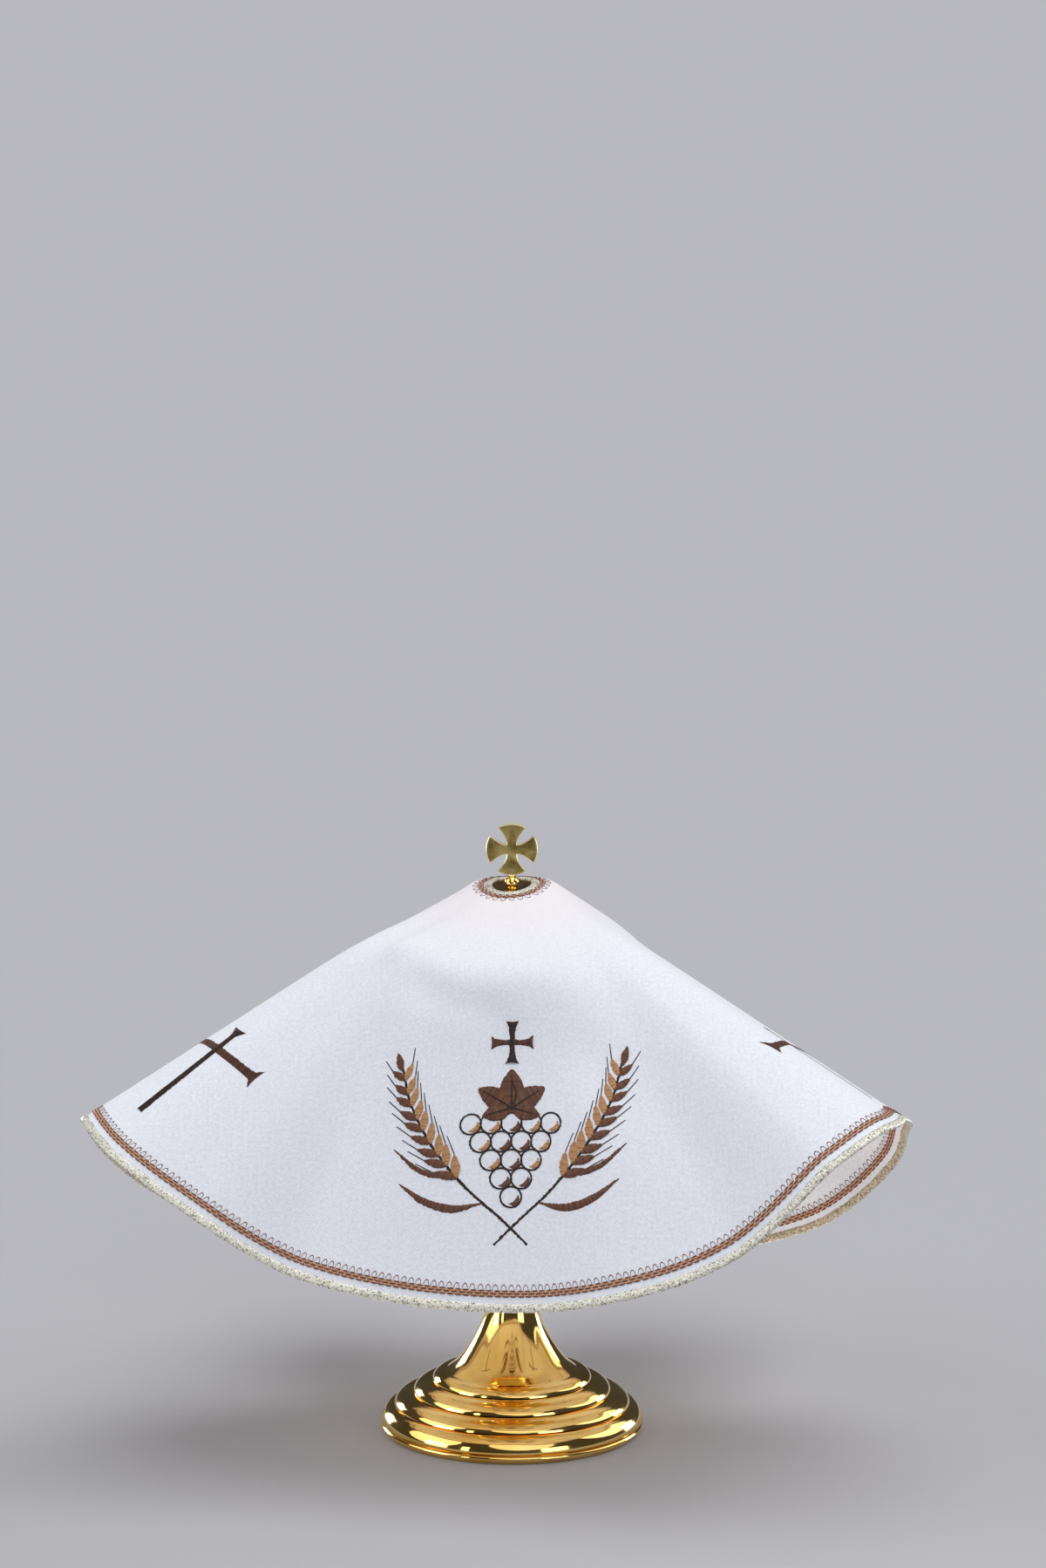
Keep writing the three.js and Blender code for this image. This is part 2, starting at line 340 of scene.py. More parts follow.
def makeTrimMaterial(name, stops):
    material, tree, shader = startMaterial(name)
    glint = placeGroup(tree, glintGroup, Vector=flatPlace(tree), Cells=trimLook["cells"])
    # painted glints: each cell's base colour runs from dark to near white, as if it caught the light
    feed(tree, shader["Base Color"], ramp(tree, glint["Glint"], stops))
    feed(tree, shader["Roughness"], spanned(tree, glint["Glint"], 0.0, 1.0, 0.6, 0.3))
    feed(tree, shader["Metallic"], spanned(tree, glint["Glint"], 0.0, 1.0, 0.4, 0.12))
    feed(tree, shader["Normal"], bump(tree, glint["Height"], 0.0002, 0.6))
    return material


goldLook = {
    "polished": {"deep": (0.82, 0.49, 0.11), "bright": (0.98, 0.69, 0.24), "metal": 1.0},
    # edge: pale, half-metal gold for the cross's bevels, a painted highlight
    "edge": {"deep": (0.80, 0.62, 0.30), "bright": (0.98, 0.86, 0.58), "metal": 0.45},
}


def makeGoldMaterial(name, look, rings, sharp, hazy):
    material, tree, shader = startMaterial(name)
    spin = placeGroup(tree, spinGroup, Vector=objectPlace(tree), Rings=rings)
    tone = ramp(tree, spin["Film"], [(0.3, goldLook[look]["deep"]), (0.62, goldLook[look]["bright"])])
    feed(tree, shader["Base Color"], tone)
    feed(tree, shader["Roughness"], spanned(tree, spin["Film"], 0.35, 0.75, sharp, hazy))
    feed(tree, shader["Normal"], bump(tree, spin["Height"], 0.00002, 0.25))
    shader["Metallic"].default_value = goldLook[look]["metal"]
    return material


# the cross's faces are brushed and its bevelled edges polished; the edges' pale, half-metal colour is a
# painted highlight
brushedLook = {"deep": (0.27, 0.20, 0.06), "bright": (0.58, 0.45, 0.18), "strokes": (2600.0, 300.0)}


def makeBrushedGold():
    material, tree, shader = startMaterial("brushed gold")
    place = objectPlace(tree)
    x, _, z = parts(tree, place)
    across, along = brushedLook["strokes"]
    strokes = noise(tree, scaled(tree, vectorOf(tree, x, 0.0, z), (across, 1.0, along)), 1.0, 3.0)
    # painted shade: the tone darkens towards the right arm
    film = calc(tree, "SUBTRACT", noise(tree, place, 160.0, 3.0), spanned(tree, x, 0.002, 0.007, 0.0, 0.2))
    tone = ramp(tree, film, [(0.3, brushedLook["deep"]), (0.7, brushedLook["bright"])])
    feed(tree, shader["Base Color"], tone)
    feed(tree, shader["Roughness"], spanned(tree, strokes, 0.3, 0.7, 0.24, 0.42))
    feed(tree, shader["Normal"], bump(tree, strokes, 0.00006, 0.5))
    shader["Metallic"].default_value = 1.0
    return material


looks = {
    "cloth": makeClothMaterial(),
    "trim": makeTrimMaterial("champagne metal thread", trimLook["outside"]),
    # painted shade: the darker copy of the metal thread for the face under the cloth
    "trimShaded": makeTrimMaterial("shaded metal thread", trimLook["shadedUnderside"]),
    "darkStitch": makeStitchMaterial("dark brown stitch", (0.075, 0.022, 0.013), (0.19, 0.068, 0.038)),
    "copperStitch": makeStitchMaterial("copper stitch", (0.38, 0.145, 0.068), (0.82, 0.45, 0.27)),
    "loopStitch": makeStitchMaterial("grey brown stitch", (0.17, 0.068, 0.045), (0.36, 0.17, 0.115)),
    "darkSatin": makeThreadMaterial("dark brown satin", (0.016, 0.006, 0.004), (0.045, 0.019, 0.013)),
    "redSatin": makeThreadMaterial("red brown satin", (0.050, 0.016, 0.009), (0.125, 0.048, 0.030)),
    "brownSatin": makeThreadMaterial("brown satin", (0.075, 0.026, 0.013), (0.20, 0.082, 0.043)),
    "tanSatin": makeThreadMaterial("tan satin", (0.33, 0.145, 0.052), (0.62, 0.345, 0.155)),
    "gold": makeGoldMaterial("polished gold", "polished", 900.0, 0.05, 0.13),
    # painted highlight on the bevelled edges of the cross
    "edgeHighlightGold": makeGoldMaterial("gold edge painted highlight", "edge", 1200.0, 0.25, 0.35),
    "brushed": makeBrushedGold(),
}
print("materials made:", len(looks))


def addPiece(name, bm, materials, sharp=None):
    mesh = bpy.data.meshes.new(name)
    bm.to_mesh(mesh)
    bm.free()
    for material in materials:
        mesh.materials.append(looks[material])
    mesh.polygons.foreach_set("use_smooth", [True] * len(mesh.polygons))
    if sharp:
        mesh.set_sharp_from_angle(angle=math.radians(sharp))
    piece = bpy.data.objects.new(name, mesh)
    scene.collection.objects.link(piece)
    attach(piece, "root")
    return piece


# the drape: each section runs down from the hole at its own slopes, in degrees below level
veil = {
    "radius": 225.0,
    "holeRadius": 9.0,
    "thickness": 0.7,
    "tuck": {"hole": 0.6, "hem": 0.8},  # the cut edges end inside the bindings
    "holeHeight": 252.5,
    # the crown lies nearly level, tipped down towards one side
    "crown": {"slope": 1.5, "tippedSlope": 20.0, "dip": 3.6, "towards": -15.0, "bend": (8.0, 13.0)},
    "lidBend": (35.0, 95.0),
    "folds": [  # azimuth from the front, slope over the lid, slope of the free cloth, reach
        (0, 22, 67, 0.983), (17, 21, 58, 1.008), (31, 22, 45, 1.022), (40, 21, 27, 1.024),
        (48, 20, 23, 1.020), (60, 24, 27, 0.952), (76, 31, 33, 0.937), (84, 33, 41, 0.968),
        (92, 34, 59, 0.988), (108, 34, 78, 0.970), (148, 26, 36, 1.000), (182, 35, 68, 1.000),
        (214, 26, 36, 1.000), (246, 36, 75, 0.970), (264, 29, 56, 0.997), (275, 27, 40, 0.990),
        (283, 22, 31, 0.980), (292, 20, 34, 0.984), (305, 21, 46, 0.968), (320, 21, 61, 0.977),
    ],
    # soft creases: start and end as (angle, radius) on the flat cloth, width, height
    "creases": [
        ((-49, 68), (-49, 68), 8.0, 1.4),
        ((-58, 86), (-48, 66), 7.0, 1.3),
        ((-60, 30), (-64, 68), 8.0, -2.0),
        ((-46, 71), (-18, 79), 9.0, 2.2),
        ((-18, 79), (14, 79), 11.0, 2.0),
        ((-36, 86), (0, 100), 9.0, -1.3),
        ((-45, 76), (-19, 139), 9.0, 1.2),
        ((-12, 112), (24, 128), 20.0, -1.6),
        ((8, 84), (30, 190), 15.0, -1.0),
    ],
    "rings": 84,
    "steps": 400,
}

drapeStep = {"angle": 0.25, "radius": 0.5}
flatRadii = np.arange(5.0, 230.01, drapeStep["radius"])
flatAngles = np.arange(0, 360, drapeStep["angle"])


def eased(t, span):
    s = np.clip((t - span[0]) / (span[1] - span[0]), 0, 1)
    return s * s * (3 - 2 * s)


# smooth closed curve through one column of the folds, with no overshoot
def foldCurve(column, azimuths):
    turns = np.array([fold[0] for fold in veil["folds"]], float)
    slopes = np.array([fold[column] for fold in veil["folds"]], float)
    width = (np.roll(turns, -1) - turns) % 360
    grade = (np.roll(slopes, -1) - slopes) / width
    before, widthBefore = np.roll(grade, 1), np.roll(width, 1)
    nearBefore, nearAfter = 2 * width + widthBefore, width + 2 * widthBefore
    same = before * grade > 0
    blended = nearBefore / np.where(same, before, 1) + nearAfter / np.where(same, grade, 1)
    tangent = np.where(same, (nearBefore + nearAfter) / blended, 0)
    i = np.searchsorted(turns, azimuths, side="right") - 1
    j = (i + 1) % len(turns)
    u = (azimuths - turns[i]) / width[i]
    start = slopes[i] * (1 + 2 * u) * (1 - u) ** 2 + tangent[i] * width[i] * u * (1 - u) ** 2
    return start + slopes[j] * u * u * (3 - 2 * u) + tangent[j] * width[i] * u * u * (u - 1)


def summed(values):
    steps = (values[:, 1:] + values[:, :-1]) / 2 * drapeStep["radius"]
    total = np.concatenate([np.zeros((len(values), 1)), np.cumsum(steps, 1)], 1)
    atHole = int(round((veil["holeRadius"] - flatRadii[0]) / drapeStep["radius"]))
    return total - total[:, atHole:atHole + 1]


def normalsOf(points):
    around = np.roll(points, -1, 0) - np.roll(points, 1, 0)
    down = np.gradient(points, axis=1)
    normal = np.cross(down, around)
    return normal / np.linalg.norm(normal, axis=2, keepdims=True)


def creaseHeights():
    angle = np.radians(flatAngles)[:, None]
    x, y = flatRadii * np.sin(angle), -flatRadii * np.cos(angle)
    height = np.zeros_like(x)
    for start, end, width, rise in veil["creases"]:
        (ax, ay), (bx, by) = [
            (r * math.sin(math.radians(a)), -r * math.cos(math.radians(a))) for a, r in (start, end)
        ]
        dx, dy = bx - ax, by - ay
        share = np.clip(((x - ax) * dx + (y - ay) * dy) / max(dx * dx + dy * dy, 1e-6), 0, 1)
        away = np.hypot(x - ax - share * dx, y - ay - share * dy)
        fade = np.sin(np.pi * (0.15 + 0.7 * share)) if dx or dy else 1.0
        height += rise * fade * np.exp(-((away / width) ** 2))
    return height


# points of the hung cloth, on a grid of flat angle and flat radius
def drapeTable():
    top, hem, reach = (foldCurve(column, flatAngles)[:, None] for column in (1, 2, 3))
    crown = veil["crown"]
    tipped = np.cos(np.radians(flatAngles - crown["towards"]) / 2)[:, None] ** 4
    start = crown["slope"] + (crown["tippedSlope"] - crown["slope"]) * tipped
    away = (flatRadii - veil["holeRadius"])[None]
    slope = np.radians(
        start + (top - start) * eased(away, crown["bend"]) + (hem - top) * eased(away, veil["lidBend"])
    )
    out = veil["holeRadius"] + reach * summed(np.cos(slope))
    height = veil["holeHeight"] - crown["dip"] * tipped - reach * summed(np.sin(slope))
    turn = np.radians(flatAngles)[:, None]
    points = np.stack([out * np.sin(turn), -out * np.cos(turn), height], 2)
    # each ring is walked by its own length, so that what is sewn flat keeps its width
    closed = np.concatenate([points, points[:1]])
    lengths = np.cumsum(np.linalg.norm(np.diff(closed, axis=0), axis=2), 0)
    lengths = np.concatenate([np.zeros((1, len(flatRadii))), lengths])
    even = np.empty_like(points)
    for k in range(len(flatRadii)):
        walk = 360 * lengths[:, k] / lengths[-1, k]
        for axis in range(3):
            even[:, k, axis] = np.interp(flatAngles, walk, closed[:, k, axis])
    return even + normalsOf(even) * creaseHeights()[:, :, None]


hungPoints = drapeTable()
hungNormals = normalsOf(hungPoints)
print("drape worked out")


# flat millimetres to hung metres; the third number stands off the cloth
def hang(points):
    x, y, lift = points.T
    turn = np.degrees(np.arctan2(x, -y)) % 360 / drapeStep["angle"]
    ring = (np.hypot(x, y) - flatRadii[0]) / drapeStep["radius"]
    ring = np.clip(ring, 0, len(flatRadii) - 1.001)
    i, k = np.floor(turn).astype(int), np.floor(ring).astype(int)
    a, b = (turn - i)[:, None], (ring - k)[:, None]
    i, j = i % len(flatAngles), (i + 1) % len(flatAngles)

    def between(grid):
        near = grid[i, k] * (1 - a) + grid[j, k] * a
        return near * (1 - b) + (grid[i, k + 1] * (1 - a) + grid[j, k + 1] * a) * b

    normal = between(hungNormals)
    normal /= np.linalg.norm(normal, axis=1, keepdims=True)
    return (between(hungPoints) + normal * lift[:, None]) * mm


def hangMesh(piece):
    mesh = piece.data
    points = np.empty(len(mesh.vertices) * 3, np.float32)
    mesh.vertices.foreach_get("co", points)
    points = points.reshape(-1, 3).astype(float)
    corners = np.empty(len(mesh.loops), np.int32)
    mesh.loops.foreach_get("vertex_index", corners)
    flat = points[corners, :2] / (2 * veil["radius"]) + 0.5
    layer = mesh.uv_layers.get("flat") or mesh.uv_layers.new(name="flat")
    layer.data.foreach_set("uv", flat.astype(np.float32).ravel())
    mesh.vertices.foreach_set("co", hang(points).astype(np.float32).ravel())
    mesh.update()
    return piece


def faceUp(bm):
    bmesh.ops.recalc_face_normals(bm, faces=bm.faces[:])
    bm.normal_update()
    if sum(face.normal.z for face in bm.faces) < 0:
        bmesh.ops.reverse_faces(bm, faces=bm.faces[:])


# a row of points, given as (radius, height), turned once round the axis
def spun(profile, steps):
    bm = bmesh.new()
    row = [bm.verts.new((0, -radius, height)) for radius, height in profile]
    for start, end in zip(row, row[1:]):
        bm.edges.new((start, end))
    bmesh.ops.spin(
        bm, geom=bm.verts[:] + bm.edges[:], cent=(0, 0, 0), axis=(0, 0, 1),
        angle=2 * math.pi, steps=steps, use_merge=True, use_duplicate=False,
    )
    bmesh.ops.remove_doubles(bm, verts=bm.verts[:], dist=1e-6)
    return bm


def makeVeil():
    inner, outer = veil["holeRadius"] + veil["tuck"]["hole"], veil["radius"] - veil["tuck"]["hem"]
    step = (outer - inner) / veil["rings"]
    bm = spun([(inner + step * i, 0) for i in range(veil["rings"] + 1)], veil["steps"])
    faceUp(bm)
    piece = hangMesh(addPiece("veil", bm, ["cloth"]))
    wall = piece.modifiers.new("thickness", "SOLIDIFY")
    wall.thickness = veil["thickness"] * mm
    wall.offset = 0
    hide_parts("veil_cloth")
    return piece


veilPiece = makeVeil()
print("veil hung")


# the bindings: a folded strip over each edge, wrapped in slanting metal thread
hemBand = {
    "edge": 225.0, "width": 3.6, "half": 0.8, "turns": 720,
    "wraps": 2000, "slant": 1.3, "uneven": 0.09,
}
holeBand = {
    "edge": 9.0, "width": 3.3, "half": 0.75, "turns": 120,
    "wraps": 100, "slant": 0.8, "uneven": 0.05,
}
wrapThread = {"swell": 0.06, "crown": 0.15, "side": -0.05, "jitter": 0.15}
underFace = -0.45  # below this offset the thread is that of the underside


# the face that lies under the cloth gets a darker copy of the same thread: painted shade
def splitFaces(bm):
    bm.normal_update()
    for face in bm.faces:
        face.material_index = 1 if face.calc_center_median().z < underFace else 0


# a rounded section as (distance from the edge, offset), from one lip round the edge to the other
def bandSection(band, swell=0.0):
    width, half = band["width"], band["half"] + swell
    return [
        (width, 0.35), (width - 0.1, half * 0.75), (width * 0.8, half), (width * 0.35, half),
        (0.5, half * 0.72), (-swell, 0.0),
        (0.5, -half * 0.72), (width * 0.35, -half), (width * 0.8, -half), (width - 0.1, -half * 0.75),
        (width, -0.35),
    ]


def makeBand(name, band, inward, node):
    section = [(band["edge"] - inward * away, offset) for away, offset in bandSection(band)]
    bm = spun(section + section[:1], band["turns"])
    bmesh.ops.recalc_face_normals(bm, faces=bm.faces[:])
    splitFaces(bm)
    piece = hangMesh(addPiece(name, bm, ["trim", "trimShaded"]))
    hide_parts(node)
    return piece


# one wrap of thread as a crowned ribbon, laid out at the front of the ring
def wrapMesh(band, inward):
    path = bandSection(band, wrapThread["swell"])
    pitch = 2 * math.pi * band["edge"] / band["wraps"]
    bm = bmesh.new()
    bmesh.ops.create_grid(bm, x_segments=2, y_segments=len(path) - 1, size=1)
    for vert in bm.verts:
        column = round(vert.co.x + 1)  # 0, 1 or 2
        row = round((vert.co.y + 1) / 2 * (len(path) - 1))
        away, offset = path[row]
        share = row / (len(path) - 1)
        slant = band["slant"] * math.sin(math.pi * (share - 0.5))
        crown = wrapThread["crown"] if column == 1 else wrapThread["side"]
        grown = offset + math.copysign(crown, offset) if offset else offset
        reachOut = -crown if offset == 0 else 0
        vert.co = (
            (column - 1) * pitch * 0.5 + slant,
            -(band["edge"] - inward * (away + reachOut)),
            grown,
        )
    bmesh.ops.recalc_face_normals(bm, faces=bm.faces[:])
    mesh = bpy.data.meshes.new("wrap")
    bm.to_mesh(mesh)
    bm.free()
    return mesh


# copies of one small mesh, joined
def layOut(mesh, places, bm=None):
    bm = bm or bmesh.new()
    for place in places:
        mesh.transform(place)
        bm.from_mesh(mesh)
        mesh.transform(place.inverted())
    return bm


def roundTurns(count, jitter=0.0, seed=1, start=0.0):
    chance = random.Random(seed)
    step = 2 * math.pi / count
    places = [i + start + chance.uniform(-jitter, jitter) for i in range(count)]
    return [Matrix.Rotation(place * step, 4, "Z") for place in places]


def makeWraps(name, band, inward, seed):
    chance = random.Random(seed)
    edge = Matrix.Translation((0, -band["edge"], 0))
    places = []
    for turn in roundTurns(band["wraps"], wrapThread["jitter"], seed):
        longer = Matrix.Scale(1 + chance.uniform(-1, 1) * band["uneven"], 4, (0, 1, 0))
        places.append(turn @ edge @ longer @ edge.inverted())
    bm = layOut(wrapMesh(band, inward), places)
    splitFaces(bm)
    return hangMesh(addPiece(name, bm, ["trim", "trimShaded"]))


sewnPieces = [
    makeBand("hem_binding_strip", hemBand, 1, "hem_binding"),
    makeWraps("hem_binding_wraps", hemBand, 1, 11),
    makeBand("hole_binding_strip", holeBand, -1, "hole_binding"),
    makeWraps("hole_binding_wraps", holeBand, -1, 12),
]
print("bindings wrapped")


# the sewn border: copper strands between dark dashes, and a row of small loops, on both faces
hemBorder = {
    "rows": [  # radius, stagger, dash length and width, then 1 for copper or 0 for dark
        (217.68, 0.0, 5.2, 1.1, 1), (216.43, 0.5, 5.2, 1.1, 1),
        (218.3, 0.3, 3.0, 0.62, 0), (217.05, 0.75, 3.0, 0.62, 0), (215.8, 0.2, 3.0, 0.62, 0),
    ],
    "count": 408,
    "loopBase": 215.6,
    "loopRise": 2.5,
    "loopWidth": 2.3,
    "thread": 0.125,
    "inward": 1,
}
holeBorder = {
    "rows": [
        (13.45, 0.0, 4.4, 1.0, 1), (14.55, 0.5, 4.6, 1.0, 1),
        (12.9, 0.3, 2.4, 0.5, 0), (14.0, 0.75, 2.6, 0.5, 0), (15.1, 0.2, 2.8, 0.5, 0),
    ],
    "count": 27,
    "loopBase": 15.3,
    "loopRise": 2.5,
    "loopWidth": 2.4,
    "thread": 0.125,
    "inward": -1,
}
faceLift = veil["thickness"] / 2
rowLift = {"dark": 0.34, "copper": 0.05, "loop": 0.06}  # above the face of the cloth
rowJitter, loopJitter = 0.04, 0.05  # as shares of one stitch


def dashMesh(length, width):
    bm = bmesh.new()
    bmesh.ops.create_uvsphere(bm, u_segments=6, v_segments=4, radius=0.5)
    bmesh.ops.rotate(bm, verts=bm.verts[:], cent=(0, 0, 0), matrix=Matrix.Rotation(math.pi / 2, 3, "Y"))
    bmesh.ops.scale(bm, verts=bm.verts[:], vec=(length, width, 0.3 + 0.25 * width))
    mesh = bpy.data.meshes.new("dash")
    bm.to_mesh(mesh)
    bm.free()
    return mesh


def makeRows(name, border, seed):
    bm = bmesh.new()
    for radius, stagger, length, width, colour in border["rows"]:
        mesh = dashMesh(length, width)
        lift = faceLift + rowLift["copper" if colour else "dark"]
        start = len(bm.faces)
        for side in (1, -1):
            seat = Matrix.Translation((0, -radius, side * lift))
            layOut(mesh, [turn @ seat for turn in roundTurns(border["count"], rowJitter, seed, stagger)], bm)
        bm.faces.ensure_lookup_table()
        for face in bm.faces[start:]:
            face.material_index = colour
    return hangMesh(addPiece(name, bm, ["darkStitch", "copperStitch"]))


# an arch of thread that stands on the inner row
def loopMesh(border):
    half = border["loopWidth"] / 2
    bm = bmesh.new()
    bmesh.ops.create_circle(bm, segments=5, radius=border["thread"])
    bmesh.ops.rotate(bm, verts=bm.verts[:], cent=(0, 0, 0), matrix=Matrix.Rotation(math.pi / 2, 3, "X"))
    bmesh.ops.translate(bm, verts=bm.verts[:], vec=(half, 0, 0))
    bmesh.ops.spin(
        bm, geom=bm.verts[:] + bm.edges[:], cent=(0, 0, 0), axis=(0, 0, 1),
        angle=math.pi * border["inward"], steps=8,
    )
    bmesh.ops.scale(bm, verts=bm.verts[:], vec=(1, border["loopRise"] / half, 1))
    bmesh.ops.recalc_face_normals(bm, faces=bm.faces[:])
    mesh = bpy.data.meshes.new("loop")
    bm.to_mesh(mesh)
    bm.free()
    return mesh


def makeLoops(name, border, seed):
    places = []
    for side in (1, -1):
        seat = Matrix.Translation((0, -border["loopBase"], side * (faceLift + rowLift["loop"])))
        places += [turn @ seat for turn in roundTurns(border["count"], loopJitter, seed)]
    return hangMesh(addPiece(name, layOut(loopMesh(border), places), ["loopStitch"]))


sewnPieces += [
    makeRows("hem_stitch_rows", hemBorder, 21),
    makeLoops("hem_stitch_loops", hemBorder, 22),
    makeRows("hole_stitch_rows", holeBorder, 23),
    makeLoops("hole_stitch_loops", holeBorder, 24),
]
print("border sewn")


# satin stitch: a crowned strip with a ragged edge, from a line of (x, y, width)
satin = {"pitch": 0.5, "across": 4, "crown": 0.45, "base": 0.06, "ragged": 0.13, "dipRows": 6}


def smoothLine(line, pitch):
    line = np.array(line, float)
    if len(line) > 2:
        ends = np.concatenate([2 * line[:1] - line[1:2], line, 2 * line[-1:] - line[-2:-1]])
        dense = []
        for p0, p1, p2, p3 in zip(ends, ends[1:], ends[2:], ends[3:]):
            for t in np.linspace(0, 1, 12, endpoint=False):
                dense.append(0.5 * (
                    2 * p1 + (p2 - p0) * t + (2 * p0 - 5 * p1 + 4 * p2 - p3) * t * t
                    + (3 * p1 - p0 - 3 * p2 + p3) * t ** 3
                ))
        line = np.array(dense + [line[-1]])
    walk = np.concatenate([[0], np.cumsum(np.hypot(*np.diff(line[:, :2], axis=0).T))])
    count = max(2, int(round(walk[-1] / pitch)))
    along = np.linspace(0, walk[-1], count + 1)
    return np.stack([np.interp(along, walk, line[:, c]) for c in range(3)], 1), along


def addStroke(bm, line, place, chance, material=0, crown=None, dip=0.0, side=1, pile=0.0):
    path, along = smoothLine(line, satin["pitch"])
    tangent = np.gradient(path[:, :2], axis=0)
    tangent /= np.maximum(np.linalg.norm(tangent, axis=1, keepdims=True), 1e-9)
    across, rows = satin["across"], len(path) - 1
    made = bmesh.ops.create_grid(bm, x_segments=across, y_segments=rows, size=1)["verts"]
    uvLayer = bm.loops.layers.uv.get("thread") or bm.loops.layers.uv.new("thread")
    ragged = [[chance.uniform(-1, 1) * satin["ragged"] for _ in range(2)] for _ in path]
    crown = satin["crown"] if crown is None else crown
    threadPlace = {}
    for vert in made:
        u, row = (vert.co.x + 1) / 2, round((vert.co.y + 1) / 2 * rows)
        x, y, width = path[row]
        tx, ty = tangent[row]
        rough = ragged[row][0] * (1 - u) * 2 if u < 0.5 else ragged[row][1] * (2 * u - 1)
        offset = (u - 0.5) * width + (rough if width > 0.8 else 0)
        hollow = 1 - (2 * u - 1) ** 2
        nearStart, nearEnd = (max(0, 1 - far / satin["dipRows"]) for far in (row, rows - row))
        shift = dip * hollow * (nearStart - nearEnd)
        high = satin["base"] + crown * math.sqrt(max(hollow, 0)) * min(1, width / 2.5)
        lift = side * (faceLift + pile + high)
        vert.co = (x + ty * offset + tx * shift, y - tx * offset + ty * shift, lift)
        threadPlace[vert] = (u, along[row] / 100)
    for face in {face for vert in made for face in vert.link_faces}:
        face.material_index = material
        for corner in face.loops:
            corner[uvLayer].uv = threadPlace[corner.vert]
        face.normal_update()
        if face.normal.z * side < 0:
            face.normal_flip()
    bmesh.ops.transform(bm, matrix=place, verts=made)


# a seat on the flat cloth; hanging shears the cloth a little, and the seat undoes that at its middle
def motifPlace(angle, radius, turn=0.0):
    seat = Matrix.Rotation(math.radians(angle), 4, "Z") @ Matrix.Translation((0, -radius, 0))
    near = 6.0
    spots = np.array([seat @ Vector(v) for v in ((near, 0, 0), (-near, 0, 0), (0, near, 0), (0, -near, 0))])
    hung = hang(spots) / mm
    ways = np.stack([hung[0] - hung[1], hung[2] - hung[3]], 1) / (2 * near)
    stretch, axes = np.linalg.eigh(ways.T @ ways)
    (a, b), (c, d) = axes @ np.diag(stretch ** -0.5) @ axes.T
    even = Matrix(((a, b, 0, 0), (c, d, 0, 0), (0, 0, 1, 0), (0, 0, 0, 1)))
    return seat @ even @ Matrix.Rotation(math.radians(turn), 4, "Z")


# long crosses with flared ends, one in each place round the veil but the front
crosses = {
    # angle round the veil, radius of the crossing, own turn
    "places": [(-57.7, 157, 11), (60, 161, -4), (119, 157, 0), (180, 157, 0), (-119, 157, 0)],
    "head": 13.5,
    "stem": 43.5,
    "arm": 29.0,
    "flare": 10.5,
    "upright": 3.6,
    "bar": 3.6,
    "barSewing": {"crown": 0.06, "dip": 0.7},
    "uprightSewing": {"crown": 0.08, "dip": 0.4, "pile": 0.05},
}


def crossLines():
    head, stem, arm = crosses["head"], crosses["stem"], crosses["arm"]
    flare, upright, bar = crosses["flare"], crosses["upright"], crosses["bar"]
    uprightLine = [(0, head, flare), (0, head - 2.2, flare * 0.62), (0, head - 5, upright * 1.05),
                   (0, 0, upright), (0, -stem * 0.5, upright), (0, -stem, upright * 1.1)]
    barLine = [(-arm, 0, flare), (-arm + 2.2, 0, flare * 0.62), (-arm + 5.5, 0, bar * 1.08), (0, 0, bar),
               (arm - 5.5, 0, bar * 1.08), (arm - 2.2, 0, flare * 0.62), (arm, 0, flare)]
    return uprightLine, barLine


def makeCrosses():
    bm = bmesh.new()
    chance = random.Random(31)
    uprightLine, barLine = crossLines()
    for angle, radius, turn in crosses["places"]:
        place = motifPlace(angle, radius, turn)
        for side in (1, -1):
            addStroke(bm, barLine, place, chance, 1, side=side, **crosses["barSewing"])
            addStroke(bm, uprightLine, place, chance, 0, side=side, **crosses["uprightSewing"])
    return hangMesh(addPiece("embroidered_crosses", bm, ["darkSatin", "redSatin"]))


sewnPieces.append(makeCrosses())
print("crosses embroidered")


# the front design: two ears of wheat round a bunch of grapes and a vine leaf, under a small cross
front = {
    "radius": 150,
    "cross": {"centre": (0, 43), "arm": 9.5, "flare": 6.2, "waist": 2.5},
    "grapeRadius": 4.6,
    "grapeRows": [(5, 7.5), (4, -0.5), (3, -8.5), (2, -16.5), (1, -24.5)],
    "earGrains": 9,
    "grain": (10.5, 4.0),
    "awn": 9,
    "leafFoot": 14,
    "lobes": [(-105, 13, 8), (-58, 17, 10), (0, 17, 11), (58, 17, 10), (105, 13, 8)],
}


def mirrored(line):
    return [(-x, y, width) for x, y, width in line]


def leafShape(x, y, angle, length, width):
    turn = math.radians(angle)
    reach = [(0, 0.3), (0.18, 0.7), (0.42, 1.0), (0.7, 0.78), (0.9, 0.38), (1, 0.12)]
    return [(x + math.sin(turn) * length * s, y + math.cos(turn) * length * s, width * w) for s, w in reach]


def wheatStalk():
    return [(7, -45, 1.0), (-4, -34, 1.1), (-19, -20, 1.2), (-33, -2, 1.2), (-43, 18, 1.1), (-48, 38, 0.9)]


